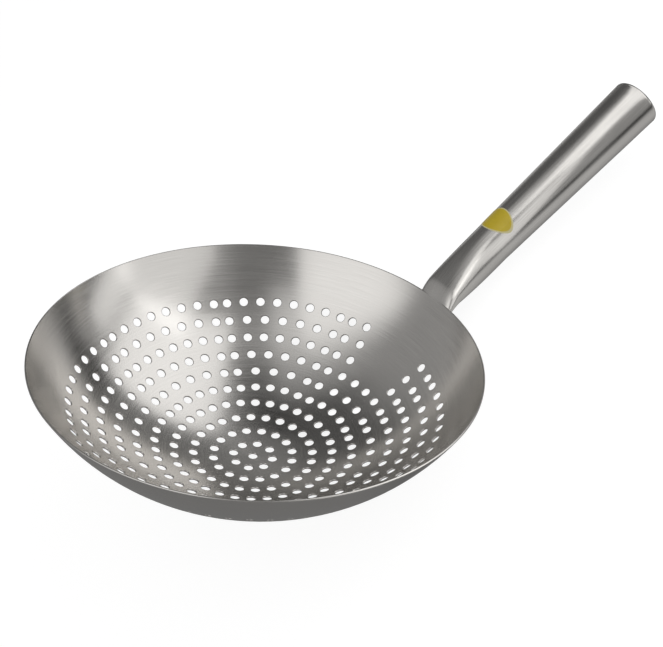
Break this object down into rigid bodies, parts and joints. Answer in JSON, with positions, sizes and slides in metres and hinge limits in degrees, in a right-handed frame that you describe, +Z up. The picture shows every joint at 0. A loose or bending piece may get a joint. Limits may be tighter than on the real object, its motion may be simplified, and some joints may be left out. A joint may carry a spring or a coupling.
{
  "type": "perforated skimmer",
  "caption": "Round-bottomed perforated skimmer pressed from one steel sheet, with a hollow handle rolled from the same sheet.",
  "frame": {"origin": "on the surface that the skimmer lies on, at the middle of its outline seen from above", "axes": "+X along the length, from the bowl to the handle's end; +Z up, as it lies at rest on the round of its bowl"},
  "size_m": [0.3978, 0.2418, 0.13],
  "materials": {
    "steel": "satin stainless steel, brushed round the bowl and along the handle",
    "label": "yellow printed film, left plain"
  },
  "bodies": {
    "root": {"skimmer": "steel", "round_sticker": "label"}
  },
  "joints": []
}
